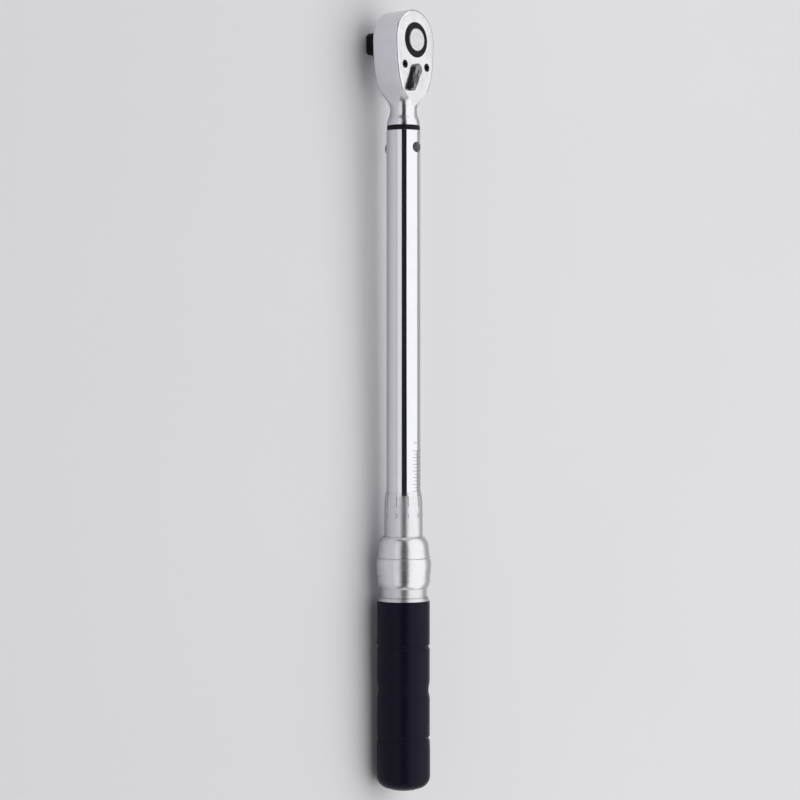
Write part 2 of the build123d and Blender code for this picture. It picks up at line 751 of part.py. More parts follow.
# ---- thimble: bevelled scale edge, and the sleeve that carries the lock ring ----
with BuildPart() as thimble:
    with BuildSketch(Plane.XY):
        with BuildLine():
            Polyline(
                (thimble_x0, sleeve_bore_r), (thimble_x0, edge_r), (bevel_x1, thimble_front_r),
                (ring_x0 - 0.2, thimble_rear_r), (ring_x0 - 0.2, sleeve_r), (sleeve_x1, sleeve_r),
                (sleeve_x1, sleeve_bore_r), close=True,
            )
        make_face()
    revolve(axis=Axis.X)
    for n in range(divisions):
        with BuildSketch(Plane.XZ.rotated((360 / divisions * n, 0, 0))):
            with BuildLine():
                Polyline(
                    (thimble_x0 - 1, edge_r - engraving), (thimble_x0, edge_r - engraving),
                    (bevel_x1, thimble_front_r - engraving), (mark_x1, thimble_front_r - engraving),
                    (mark_x1, thimble_front_r + 1), (thimble_x0 - 1, thimble_front_r + 1), close=True,
                )
            make_face()
        extrude(amount=line_w / 2, both=True, mode=Mode.SUBTRACT)
    with Locations((nose_x, 0, 0)):
        Cylinder(window_r, 4 * head_t, mode=Mode.SUBTRACT)
thimble.part.label = "thimble"
export_step(thimble.part, "parts/thimble.step")

# ---- lock fingers: spring ring with two fingers whose noses drop into the tube's flutes ----
finger_r = sleeve_r + 0.05
nose_in_r = tube_r - flute_depth + 0.1
with BuildPart() as lock_fingers:
    with BuildSketch(Plane.YZ.offset(finger_base_x)):
        Circle(finger_r + finger_t)
        Circle(finger_r, mode=Mode.SUBTRACT)
    extrude(amount=finger_x1 - finger_base_x)
    with BuildSketch(Plane.YZ.offset(finger_x0)):
        Circle(finger_r + finger_t)
        Circle(finger_r, mode=Mode.SUBTRACT)
        Rectangle(finger_w, 4 * finger_r, mode=Mode.INTERSECT)
    extrude(amount=finger_base_x - finger_x0)
    with Locations((nose_x, 0, nose_in_r)):
        Cone(nose_r / 2, nose_r, nose_r / 2, align=(Align.CENTER, Align.CENTER, Align.MIN))
    with Locations((nose_x, 0, nose_in_r + nose_r / 2)):
        Cylinder(
            nose_r, finger_r + 0.2 - nose_in_r, align=(Align.CENTER, Align.CENTER, Align.MIN)
        )
    with Locations((nose_x, 0, -nose_in_r)):
        Cone(nose_r, nose_r / 2, nose_r / 2, align=(Align.CENTER, Align.CENTER, Align.MAX))
    with Locations((nose_x, 0, -nose_in_r - nose_r / 2)):
        Cylinder(
            nose_r, finger_r + 0.2 - nose_in_r, align=(Align.CENTER, Align.CENTER, Align.MAX)
        )
lock_fingers.part.label = "lock_fingers"
export_step(lock_fingers.part, "parts/lock_fingers.step")

# ---- lock ring ----
with BuildPart() as lock_ring:
    with BuildSketch(Plane.XY):
        with BuildLine():
            Polyline((ring_x0, sleeve_r + run_gap), (ring_x0, 12.0), ring_profile[0])
            Spline(*ring_profile)
            Polyline(ring_profile[-1], (309.3, 15.85), (309.6, 15.85), ring_rib[0])
            Spline(*ring_rib)
            ThreePointArc(
                ring_rib[-1], (ring_x1 - 2.2, (ring_rib[-1][1] + ring_nose_r) / 2 + 0.3),
                (ring_x1, ring_nose_r),
            )
            Polyline(
                (ring_x1, ring_nose_r), (ring_x1, rear_bore_r), (web_x1, rear_bore_r),
                (web_x1, sleeve_r + run_gap), (web_x0, sleeve_r + run_gap), (web_x0, ring_cavity_r),
                (land_x1, ring_cavity_r), (land_x1, land_r), (land_x0, land_r),
                (land_x0, ring_cavity_r), (cavity_x0, ring_cavity_r), (cavity_x0, sleeve_r + run_gap),
                (ring_x0, sleeve_r + run_gap),
            )
        make_face()
    revolve(axis=Axis.X)
lock_ring.part.label = "lock_ring"
export_step(lock_ring.part, "parts/lock_ring.step")

# ---- spring that returns the lock ring ----
with BuildPart() as ring_spring:
    with BuildLine(mode=Mode.PRIVATE) as ring_coil:
        Helix(
            2.6, core_x0 - web_x1 - return_wire - 0.2, return_coil_r,
            center=(web_x1 + return_wire / 2 + 0.1, 0, 0), direction=(1, 0, 0),
        )
    with BuildSketch(Plane(origin=ring_coil.line @ 0, z_dir=ring_coil.line % 0)):
        Circle(return_wire / 2)
    sweep(path=ring_coil.line)
ring_spring.part.label = "ring_spring"
export_step(ring_spring.part, "parts/ring_spring.step")

# ---- handle core: neck seen in front of the grip, and the steel sleeve under it ----
with BuildPart() as handle_core:
    with BuildSketch(Plane.XY):
        with BuildLine():
            Polyline(
                (core_x0, sleeve_r), (core_x0, core_front_r), (core_flare_x, core_front_r),
                (core_groove_x - 0.3, 14.65), (core_groove_x - 0.2, 14.35), (core_groove_x + 0.1, 14.35),
                (core_groove_x + 0.2, 14.85), (grip_x0 - 0.5, grip_r - 0.3), (grip_x0, grip_r - 0.3),
                (grip_x0, core_r), (core_rear_x, core_r), (core_rear_x, nut_pocket_r),
                (bulkhead_x1, nut_pocket_r), (bulkhead_x1, set_spigot_r), (bulkhead_x0, set_spigot_r),
                (bulkhead_x0, core_bore_r), (sleeve_x1, core_bore_r), (sleeve_x1, sleeve_r),
                close=True,
            )
        make_face()
    revolve(axis=Axis.X)
handle_core.part.label = "handle_core"
export_step(handle_core.part, "parts/handle_core.step")

# ---- nut that clamps the setting screw to the handle core ----
with BuildPart() as lock_nut:
    with BuildSketch(Plane.YZ.offset(bulkhead_x1)):
        RegularPolygon(lock_nut_af / 2, 6, major_radius=False)
        Circle(set_spigot_r, mode=Mode.SUBTRACT)
    extrude(amount=lock_nut_t)
lock_nut.part.label = "lock_nut"
export_step(lock_nut.part, "parts/lock_nut.step")

# ---- grip ----
with BuildPart() as grip:
    with BuildSketch(Plane.XY):
        with BuildLine():
            outline = [(grip_x0, core_r), (grip_x0, grip_r - 0.35), (grip_x0 + 0.35, grip_r)]
            for x in grip_groove_x[:1]:
                outline += [
                    (x - grip_groove_half, grip_r), (x - 0.5, grip_r - grip_groove_depth),
                    (x + 0.5, grip_r - grip_groove_depth), (x + grip_groove_half, grip_r),
                ]
            outline += [(waist_x0, grip_r)]
            Polyline(*outline)
            Spline(
                (waist_x0, grip_r), ((waist_x0 + waist_x1) / 2, waist_r), (waist_x1, grip_r),
                tangents=((1, -0.1), (1, 0.1)),
            )
            outline = [(waist_x1, grip_r)]
            for x in grip_groove_x[1:]:
                outline += [
                    (x - grip_groove_half, grip_r), (x - 0.5, grip_r - grip_groove_depth),
                    (x + 0.5, grip_r - grip_groove_depth), (x + grip_groove_half, grip_r),
                ]
            round_r = grip_rear_r - plug_r
            outline += [(424.0, grip_rear_r), (grip_x1 - round_r, grip_rear_r)]
            Polyline(*outline)
            ThreePointArc(
                (grip_x1 - round_r, grip_rear_r),
                (grip_x1 - round_r * (1 - math.sqrt(0.5)), grip_rear_r - round_r * (1 - math.sqrt(0.5))),
                (grip_x1, plug_r),
            )
            Polyline(
                (grip_x1, plug_r), (core_rear_x + plug_flange_t, plug_r),
                (core_rear_x + plug_flange_t, plug_flange_r), (core_rear_x, plug_flange_r),
                (core_rear_x, core_r), (grip_x0, core_r),
            )
        make_face()
    revolve(axis=Axis.X)
grip.part.label = "grip"
export_step(grip.part, "parts/grip.step")

# ---- plug in the grip's end ----
with BuildPart() as end_plug:
    along_x(plug_r - 0.02, core_rear_x + 0.05, plug_x1 - core_rear_x - 0.05)
    chamfer(end_plug.edges().filter_by(GeomType.CIRCLE).sort_by(Axis.X)[-1], length=0.8)
    along_x(plug_flange_r - 0.02, core_rear_x + 0.05, plug_flange_t - 0.1)
    bore_x(5.5, core_rear_x - 1, 6)
end_plug.part.label = "end_plug"
export_step(end_plug.part, "parts/end_plug.step")
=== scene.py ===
"""Finishes, scale numbers and studio for a click torque wrench.

The wrench lies along +X with its drive axis on Z. All lengths are in metres.
"""

import math

import bmesh
import bpy
from bpy.props import FloatProperty, FloatVectorProperty, IntProperty, PointerProperty
from mathutils import Matrix, Vector


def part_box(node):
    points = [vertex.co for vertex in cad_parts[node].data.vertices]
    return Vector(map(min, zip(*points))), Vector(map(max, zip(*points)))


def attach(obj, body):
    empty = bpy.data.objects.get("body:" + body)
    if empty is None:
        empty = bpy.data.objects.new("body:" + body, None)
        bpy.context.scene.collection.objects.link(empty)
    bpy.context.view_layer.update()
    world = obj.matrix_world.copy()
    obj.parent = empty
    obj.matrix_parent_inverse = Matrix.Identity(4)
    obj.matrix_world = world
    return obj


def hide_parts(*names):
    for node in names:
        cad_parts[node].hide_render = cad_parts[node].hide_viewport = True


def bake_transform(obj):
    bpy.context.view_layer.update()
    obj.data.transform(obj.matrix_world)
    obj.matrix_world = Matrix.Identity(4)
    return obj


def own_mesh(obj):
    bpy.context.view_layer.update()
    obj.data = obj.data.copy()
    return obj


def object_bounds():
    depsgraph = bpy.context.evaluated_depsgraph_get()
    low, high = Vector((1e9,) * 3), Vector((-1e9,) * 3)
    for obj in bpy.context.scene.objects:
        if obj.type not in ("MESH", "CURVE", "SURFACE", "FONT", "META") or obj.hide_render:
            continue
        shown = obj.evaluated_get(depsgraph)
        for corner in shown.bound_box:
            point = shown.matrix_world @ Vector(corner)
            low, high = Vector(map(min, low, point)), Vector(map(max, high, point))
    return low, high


bl_info = {
    "name": "Torque Wrench Finisher",
    "version": (1, 0, 0),
    "blender": (4, 5, 0),
    "location": "View3D > Sidebar > Wrench",
    "description": "Plates, marks and lights a click torque wrench",
    "category": "Object",
}

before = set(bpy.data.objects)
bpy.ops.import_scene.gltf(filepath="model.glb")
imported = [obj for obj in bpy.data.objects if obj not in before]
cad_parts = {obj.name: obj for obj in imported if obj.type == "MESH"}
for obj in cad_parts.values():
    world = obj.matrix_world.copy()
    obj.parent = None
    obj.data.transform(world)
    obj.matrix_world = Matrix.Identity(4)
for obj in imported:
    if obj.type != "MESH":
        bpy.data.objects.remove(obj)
cad_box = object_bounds()

MM = 0.001

# measures of the wrench's own pieces
DRIVE_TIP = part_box("drive_gear")[0]
GRIP_LOW, GRIP_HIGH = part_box("grip")
TUBE_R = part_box("tube")[1].y
THIMBLE_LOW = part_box("thimble")[0]
PIVOT_X = sum(corner.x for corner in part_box("pivot_pin")) / 2
BEVEL_START_R = 10.65 * MM
BEVEL_END_X = THIMBLE_LOW.x + 6 * MM
BEVEL_END_R = 11.4 * MM
BAND_END_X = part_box("lock_ring")[0].x - 0.2 * MM
BAND_END_R = 11.65 * MM

# how far its moving pieces go
SCREW_PITCH = 2 * MM
SCREW_TURNS = 12

# the engraved scale, and the raised ink of its numbers
FIRST_TICK_X = THIMBLE_LOW.x - 0.525 * MM
GRADUATION_END_X = THIMBLE_LOW.x + 9.1 * MM
TICKS_PER_NUMBER = 2
NUMBER_TURN = math.radians(29)  # round the tube, from its top line
UNIT_TURNS = SCREW_TURNS + 2.4  # from the first line to the unit
UNIT_SHARE = 0.95  # height of the unit, as a share of a number's
DIGITS = 10
DIGIT_X = GRADUATION_END_X + 4.9 * MM
INK_THICKNESS = 0.00006
CAPITAL_SHARE = 0.72  # height of a capital, as a share of the font's size
STRIP_WIDTH = 0.00025  # of the strips that a label is cut into before it bends
WELD_SHARE = 0.0005  # of a label's height, the gap that is welded

# studio
FLOOR_GAP = 0.0001
PANEL_LENGTH = 3.8
END_PANEL_WIDTH = 2.2
END_PANEL_HEIGHT = 1.1
END_PANEL_Y = 0.1
CAMERA_RIGHT = (0, 0.636, 0.772)  # points right on the screen
CAMERA_TARGET = (0.2151, 0, 0)
CAMERA_SHIFT = 0.0021  # of the target, to the left on the screen

# colours that more than one finish uses
# painted shade: the dark colour laid into seams and corners that the ambient occlusion mask finds
CREVICE_SHADE = (0.06, 0.058, 0.055)

# input and output numbers of the colour mix node
MIX_FACTOR, MIX_UNDER, MIX_OVER, MIX_RESULT = 0, 6, 7, 2


# ---------------------------------------------------------------- settings


class PlatingSettings(bpy.types.PropertyGroup):
    """Colour and polish of the plated and machined steel."""

    chrome: FloatVectorProperty(
        name="Chrome", description="Reflection colour of the plating",
        subtype="COLOR", min=0, max=1, default=(0.71, 0.71, 0.735),
    )
    head_roughness: FloatProperty(
        name="Head satin", description="Roughness of the forged head's plating",
        min=0, max=1, default=0.17,
    )
    tube_roughness: FloatProperty(
        name="Tube polish", description="Roughness of the polished tube",
        min=0, max=1, default=0.07,
    )
    thimble_roughness: FloatProperty(
        name="Thimble satin", description="Roughness of the turned thimble",
        min=0, max=1, default=0.29,
    )
    ring_roughness: FloatProperty(
        name="Lock ring satin", description="Roughness of the lock ring",
        min=0, max=1, default=0.25,
    )
    oxide: FloatVectorProperty(
        name="Black oxide", description="Colour of the blackened steel",
        subtype="COLOR", min=0, max=1, default=(0.005, 0.005, 0.0062),
    )
    steel: FloatVectorProperty(
        name="Steel", description="Reflection colour of the bare steel",
        subtype="COLOR", min=0, max=1, default=(0.44, 0.435, 0.43),
    )
    edge_wear: FloatProperty(
        name="Edge width", description="Width of the rubbed band along edges",
        subtype="DISTANCE", unit="LENGTH", min=0, max=0.002, default=0.0004,
    )


class GripSettings(bpy.types.PropertyGroup):
    """Colour and grain of the moulded plastic and the rubber."""

    plastic: FloatVectorProperty(
        name="Grip plastic", description="Colour of the moulded grip",
        subtype="COLOR", min=0, max=1, default=(0.0042, 0.0035, 0.0118),
    )
    plug: FloatVectorProperty(
        name="Plug plastic", description="Colour of the end plug",
        subtype="COLOR", min=0, max=1, default=(0.010, 0.010, 0.014),
    )
    rubber: FloatVectorProperty(
        name="Seal rubber", description="Colour of the neck seal",
        subtype="COLOR", min=0, max=1, default=(0.007, 0.007, 0.0085),
    )
    roughness: FloatProperty(
        name="Grip gloss", description="Roughness of the moulded skin",
        min=0, max=1, default=0.36,
    )
    grain_depth: FloatProperty(
        name="Grain depth", description="Depth of the moulded spark grain",
        subtype="DISTANCE", unit="LENGTH", min=0, max=0.0005, default=0.000012,
    )


class MarkSettings(bpy.types.PropertyGroup):
    """Size and colour of the numbers on the scale."""

    lowest: IntProperty(
        name="Lowest setting", description="Number at the scale's first line", min=0, default=30
    )
    step: IntProperty(
        name="Step", description="How much one turn of the grip adds", min=1, default=10
    )
    tube_height: FloatProperty(
        name="Scale number height", description="Height of the numbers on the tube",
        subtype="DISTANCE", unit="LENGTH", min=0.0005, max=0.01, default=0.0019,
    )
    thimble_height: FloatProperty(
        name="Thimble digit height", description="Height of the digits on the thimble",
        subtype="DISTANCE", unit="LENGTH", min=0.0005, max=0.01, default=0.0027,
    )
    ink: FloatVectorProperty(
        name="Mark colour", description="Colour of the filled lines and numbers",
        subtype="COLOR", min=0, max=1, default=(0.36, 0.36, 0.385),
    )


class StudioSettings(bpy.types.PropertyGroup):
    """Floor, light panels and camera."""

    floor: FloatVectorProperty(
        name="Floor", description="Colour of the floor",
        subtype="COLOR", min=0, max=1, default=(0.78, 0.775, 0.80),
    )
    floor_size: FloatProperty(
        name="Floor size", description="Side of the square floor",
        subtype="DISTANCE", unit="LENGTH", min=1, default=16.0,
    )
    main_light: FloatProperty(
        name="Main panel", description="Brightness of the panel overhead", min=0, default=1.28
    )
    near_light: FloatProperty(
        name="Near panel", description="Brightness of the low panel on the near side",
        min=0, default=0.95,
    )
    far_light: FloatProperty(
        name="Far panel", description="Brightness of the low panel on the far side",
        min=0, default=0.5,
    )
    end_light: FloatProperty(
        name="End panels", description="Brightness of the panels off the two ends",
        min=0, default=0.75,
    )
    camera_distance: FloatProperty(
        name="Camera distance", description="From the camera to the wrench's middle",
        subtype="DISTANCE", unit="LENGTH", min=0.3, default=1.326,
    )
    lens: FloatProperty(
        name="Lens", description="Focal length of the camera", min=10, default=99.45
    )


# ---------------------------------------------------------------- finishes


class Finish:
    """A material under construction: its nodes, the marks that wear and making leave in it, and any
    painted shade in its corners.
    """

    def __init__(self, name, colour, metallic, roughness, **sockets):
        self.material = bpy.data.materials.new(name)
        self.material.use_nodes = True
        self.material.diffuse_color = (*colour, 1)
        self.tree = self.material.node_tree
        self.tree.nodes.clear()
        self.shader = self.add("ShaderNodeBsdfPrincipled")
        out = self.add("ShaderNodeOutputMaterial")
        self.tree.links.new(self.shader.outputs["BSDF"], out.inputs["Surface"])
        self.shader.inputs["Base Color"].default_value = (*colour, 1)
        self.shader.inputs["Metallic"].default_value = metallic
        self.shader.inputs["Roughness"].default_value = roughness
        for socket, value in sockets.items():
            self.shader.inputs[socket.replace("_", " ")].default_value = value
        self.colour = colour
        self.roughness = roughness
        self.tints = []
        self.rubs = []
        self.bumps = []

    def add(self, kind, **settings):
        node = self.tree.nodes.new(kind)
        for key, value in settings.items():
            setattr(node, key, value)
        return node

    def feed(self, node, **inputs):
        """Sets a node's inputs, by name or as i0 and i1, from values or other nodes' outputs."""
        for key, value in inputs.items():
            numbered = key[0] == "i" and key[1:].isdigit()
            socket = node.inputs[int(key[1:]) if numbered else key.replace("_", " ")]
            if isinstance(value, bpy.types.NodeSocket):
                self.tree.links.new(value, socket)
            else:
                socket.default_value = value
        return node

    def math(self, operation, first, second=0.0):
        node = self.add("ShaderNodeMath", operation=operation)
        return self.feed(node, i0=first, i1=second).outputs[0]

    def ramp(self, value, low, high, to_low, to_high, **settings):
        """Straight line from to_low at low to to_high at high, level outside them."""
        node = self.add("ShaderNodeMapRange", **settings)
        self.feed(node, Value=value, From_Min=low, From_Max=high, To_Min=to_low, To_Max=to_high)
        return node.outputs["Result"]

    def spread(self, value, low, high, to_low=0.0, to_high=1.0):
        """As ramp, but eased in and out."""
        return self.ramp(value, low, high, to_low, to_high, interpolation_type="SMOOTHSTEP")

    def position(self):
        return self.add("ShaderNodeTexCoord").outputs["Object"]

    def place(self, scale=(1, 1, 1), turn=(0, 0, 0), centre=(0, 0, 0)):
        """Position on the piece from centre, turned and stretched."""
        position = self.position()
        node = self.add("ShaderNodeMapping", vector_type="POINT")
        shift = tuple(-c * s for c, s in zip(centre, scale))
        self.feed(node, Vector=position, Location=shift, Rotation=turn, Scale=scale)
        return node.outputs["Vector"]

    def noise(self, position, scale, detail=2.0, roughness=0.5):
        node = self.add("ShaderNodeTexNoise")
        self.feed(node, Vector=position, Scale=scale, Detail=detail, Roughness=roughness)
        return node.outputs[0]

    def radius(self, axis, centre=(0, 0, 0)):
        """Distance from a line through centre along axis."""
        flat = tuple(0 if letter == axis else 1 for letter in "XYZ")
        length = self.add("ShaderNodeVectorMath", operation="LENGTH")
        self.feed(length, i0=self.place(scale=flat, centre=centre))
        return length.outputs["Value"]

    def along(self, axis):
        """Position along one axis."""
        split = self.add("ShaderNodeSeparateXYZ")
        self.feed(split, Vector=self.position())
        return split.outputs[axis]

    def edges(self, width, low=0.90, high=0.995):
        """1 along sharp edges and 0 on open faces."""
        rounded = self.feed(self.add("ShaderNodeBevel", samples=4), Radius=width)
        plain = self.add("ShaderNodeNewGeometry").outputs["Normal"]
        dot = self.add("ShaderNodeVectorMath", operation="DOT_PRODUCT")
        self.feed(dot, i0=rounded.outputs["Normal"], i1=plain)
        return self.spread(dot.outputs["Value"], low, high, 1.0, 0.0)

    def crevice(self, distance):
        """1 deep in seams and corners and 0 on open faces."""
        node = self.add("ShaderNodeAmbientOcclusion", samples=4, only_local=False)
        self.feed(node, Distance=distance)
        return self.spread(node.outputs["AO"], 0.25, 0.75, 1.0, 0.0)

    def tint(self, mask, colour, amount=1.0):
        """Paints colour over the base where the mask is 1."""
        self.tints.append((mask, colour, amount))

    def rub(self, mask, change):
        """Adds change to the roughness where the mask is 1."""
        self.rubs.append((mask, change))

    def bump(self, height, depth):
        """Raises the surface by depth where height is 1."""
        self.bumps.append((height, depth))

    def clouds(self, size, change, shade):
        """Hand marks and uneven polish: soft patches about size across."""
        patch = self.spread(
            self.noise(self.place(), scale=1 / size, detail=5, roughness=0.62), 0.38, 0.66
        )
        self.rub(patch, change)
        self.tint(patch, tuple(c * (1 - shade) for c in self.colour))

    def mark(self, pattern, depth, change):
        """Raises the pattern by depth, and dulls its high parts by change."""
        self.bump(pattern, depth)
        if change:
            self.rub(self.spread(pattern, 0.35, 0.65), change)

    def grain(self, size, depth, change=0.0):
        """Even fine grain, from blasting or from the mould."""
        grains = self.noise(self.place(), scale=1 / size, detail=3, roughness=0.6)
        self.mark(grains, depth, change)

    def lathe(self, axis, pitch, depth, centre=(0, 0, 0), change=0.0):
        """Fine rings left by turning about axis, on flats and on barrels."""
        across = self.math("ADD", self.along(axis), self.radius(axis, centre))
        line = self.add("ShaderNodeTexNoise", noise_dimensions="1D")
        self.feed(line, W=self.math("MULTIPLY", across, 1 / pitch), Scale=1.0, Detail=3.0)
        self.mark(line.outputs[0], depth, change)

    def draw_lines(self, axis, pitch, depth, turn=(0, 0, 0), change=0.0):
        """Straight brushed lines along axis, about 80 mm long."""
        scale = tuple(12.0 if letter == axis else 1 / pitch for letter in "XYZ")
        lines = self.noise(
            self.place(scale=scale, turn=turn), scale=1.0, detail=3, roughness=0.6
        )
        self.mark(lines, depth, change)

    def scratches(self, depth, change, turns=((0, 0, 0.35), (0.2, 0.5, -0.6))):
        """Sparse hairline scratches from use."""
        for turn in turns:
            streaks = self.noise(
                self.place(scale=(55, 3800, 3800), turn=turn), scale=1.0, detail=2, roughness=0.5
            )
            area = self.noise(self.place(turn=turn), scale=90, detail=2, roughness=0.5)
            lines = self.math(
                "MULTIPLY", self.spread(streaks, 0.70, 0.76), self.spread(area, 0.46, 0.6)
            )
            self.bump(lines, -depth)
            self.rub(lines, change)

    def done(self):
        """Wires up the gathered marks and returns the material."""
        base = None
        for mask, colour, amount in self.tints:
            mix = self.add("ShaderNodeMix", data_type="RGBA")
            mix.clamp_factor = True
            if amount != 1.0:
                mask = self.math("MULTIPLY", mask, amount)
            self.tree.links.new(mask, mix.inputs[MIX_FACTOR])
            mix.inputs[MIX_UNDER].default_value = (*self.colour, 1)
            if base:
                self.tree.links.new(base, mix.inputs[MIX_UNDER])
            mix.inputs[MIX_OVER].default_value = (*colour, 1)
            base = mix.outputs[MIX_RESULT]
        if base:
            self.tree.links.new(base, self.shader.inputs["Base Color"])
        if self.rubs:
            total = self.roughness
            for mask, change in self.rubs:
                total = self.math("ADD", self.math("MULTIPLY", mask, change), total)
            limit = self.add("ShaderNodeClamp")
            self.feed(limit, Value=total, Min=0.03, Max=0.95)
            self.tree.links.new(limit.outputs[0], self.shader.inputs["Roughness"])
        normal = None
        for height, depth in self.bumps:
            node = self.add("ShaderNodeBump", invert=depth < 0)
            self.feed(node, Strength=1.0, Distance=abs(depth), Height=height)
            if normal:
                self.tree.links.new(normal, node.inputs["Normal"])
            normal = node.outputs["Normal"]
        if normal:
            self.tree.links.new(normal, self.shader.inputs["Normal"])
        return self.material


def dress(node, material):
    """Gives a frame piece its finish."""
    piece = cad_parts[node]
    for slot in piece.material_slots:
        slot.material = material
    if not piece.material_slots:
        piece.data.materials.append(material)


def squeeze(node):
    """Gives a coil spring its own copy of its mesh."""
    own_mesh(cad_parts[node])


def bend_between(node, name):
    """Stands a copy in for a frame piece, without its rig_ keys, and hides the piece."""
    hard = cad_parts[node]
    soft = hard.copy()
    soft.data = hard.data.copy()
    soft.name = soft.data.name = name
    soft.parent = None
    soft.matrix_world = hard.matrix_world.copy()
    for key in [key for key in soft.keys() if key.startswith("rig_")]:
        del soft[key]
    bpy.context.scene.collection.objects.link(soft)
    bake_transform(soft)
    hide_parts(node)
    return soft


def times(colour, factor):
    """The colour made lighter or darker."""
    return tuple(min(1.0, c * factor) for c in colour)


def forged_chrome(plating):
    """Satin chrome over a blasted forging, polished on its edges, with painted shade in its
    corners.
    """
    f = Finish("forged_chrome", tuple(plating.chrome), 1, plating.head_roughness)
    f.clouds(size=0.011, change=0.06, shade=0.05)
    f.bump(f.noise(f.place(), scale=140, detail=2, roughness=0.5), 0.00002)
    f.grain(size=0.00032, depth=0.0000045, change=0.05)
    f.scratches(depth=0.000004, change=0.12)
    edge = f.edges(plating.edge_wear)
    f.rub(edge, -0.12)
    f.tint(edge, times(plating.chrome, 1.12))
    # painted shade: corners and seams darkened by the ambient occlusion mask
    f.tint(f.crevice(0.0008), CREVICE_SHADE, 0.5)
    return f.done()


def plate_chrome(plating):
    """Ground cover plate: straight fine lines under the chrome."""
    f = Finish("plate_chrome", tuple(plating.chrome), 1, plating.head_roughness)
    f.clouds(size=0.009, change=0.05, shade=0.05)
    f.draw_lines("X", pitch=0.00012, depth=0.0000025, change=0.05)
    f.scratches(depth=0.000004, change=0.12)
    # painted shade: a dark line along the seams and in corners, from the ambient occlusion mask
    f.tint(f.crevice(0.0006), (0.08, 0.078, 0.075), 0.4)
    edge = f.edges(plating.edge_wear * 0.6)
    f.rub(edge, -0.1)
    return f.done()


def tube_chrome(plating, marks):
    """Mirror-polished chrome with faint hand marks, and ink in the engraved scale."""
    f = Finish("tube_chrome", tuple(plating.chrome), 1, plating.tube_roughness)
    f.clouds(size=0.014, change=0.035, shade=0.02)
    f.bump(f.noise(f.place(scale=(0.35, 1, 1)), scale=160, detail=2, roughness=0.5), 0.0000035)
    f.draw_lines("X", pitch=0.0002, depth=0.0000004)
    f.scratches(depth=0.0000018, change=0.10, turns=((0, 0, 0.1), (0.2, 0.35, -0.2)))
    sunk = f.spread(f.radius("X"), TUBE_R - 0.11 * MM, TUBE_R - 0.05 * MM, 1.0, 0.0)
    inside = f.spread(f.radius("X"), TUBE_R - 1.2 * MM, TUBE_R - 1.0 * MM)
    before = f.spread(f.along("X"), BEVEL_END_X - 0.4 * MM, BEVEL_END_X - 0.2 * MM, 1.0, 0.0)
    after = f.spread(f.along("X"), FIRST_TICK_X - 30 * MM, FIRST_TICK_X - 29 * MM)
    ink = f.math(
        "MULTIPLY", f.math("MULTIPLY", sunk, inside), f.math("MULTIPLY", before, after)
    )
    f.tint(ink, tuple(marks.ink))
    f.rub(ink, 0.5)
    bore = f.spread(f.radius("X"), TUBE_R - 1.9 * MM, TUBE_R - 1.3 * MM, 1.0, 0.0)
    f.tint(bore, (0.26, 0.25, 0.235))
    f.rub(bore, 0.25)
    return f.done()


def thimble_chrome(plating, marks):
    """Turned satin chrome with ink in the engraved graduations."""
    f = Finish("thimble_chrome", times(plating.chrome, 0.94), 1, plating.thimble_roughness)
    f.clouds(size=0.008, change=0.05, shade=0.04)
    f.lathe("X", pitch=0.00011, depth=0.0000022, change=0.04)
    f.scratches(depth=0.000003, change=0.1)
    edge = f.edges(plating.edge_wear * 0.7)
    f.rub(edge, -0.12)
    slope = f.ramp(f.along("X"), THIMBLE_LOW.x, BEVEL_END_X, BEVEL_START_R, BEVEL_END_R)
    depth = f.math("SUBTRACT", slope, f.radius("X"))
    sunk = f.spread(depth, 0.04 * MM, 0.10 * MM)
    bore = f.spread(depth, 0.16 * MM, 0.19 * MM, 1.0, 0.0)
    before = f.spread(f.along("X"), GRADUATION_END_X, GRADUATION_END_X + 0.1 * MM, 1.0, 0.0)
    ink = f.math("MULTIPLY", f.math("MULTIPLY", sunk, bore), before)
    lip = f.spread(f.along("X"), THIMBLE_LOW.x + 2.2 * MM, THIMBLE_LOW.x + 2.6 * MM)
    ink = f.math("MULTIPLY", ink, lip)
    f.tint(ink, times(marks.ink, 0.6))
    f.rub(ink, 0.4)
    f.rub(f.math("SUBTRACT", 1.0, lip), -0.17)
    return f.done()


def ring_chrome(plating):
    """Satin chrome lock ring, worn brighter where fingers pull it."""
    f = Finish("ring_chrome", times(plating.chrome, 0.97), 1, plating.ring_roughness)
    f.clouds(size=0.009, change=0.03, shade=0.03)
    f.lathe("X", pitch=0.00016, depth=0.0000018, change=0.03)
    f.scratches(depth=0.000004, change=0.12)
    edge = f.edges(plating.edge_wear)
    f.rub(edge, -0.1)
    f.tint(edge, times(plating.chrome, 1.12))
    # painted shade in the ring's corners and grooves, from the ambient occlusion mask
    f.tint(f.crevice(0.0012), CREVICE_SHADE, 0.6)
    return f.done()


def neck_chrome(plating):
    """Polished chrome neck in front of the grip."""
    f = Finish("neck_chrome", times(plating.chrome, 0.88), 1, 0.29)
    f.clouds(size=0.010, change=0.04, shade=0.04)
    f.lathe("X", pitch=0.00014, depth=0.0000012, change=0.03)
    f.scratches(depth=0.000003, change=0.1)
    # painted shade in the neck's corners and grooves, from the ambient occlusion mask
    f.tint(f.crevice(0.0014), (0.05, 0.048, 0.045), 0.7)
    return f.done()


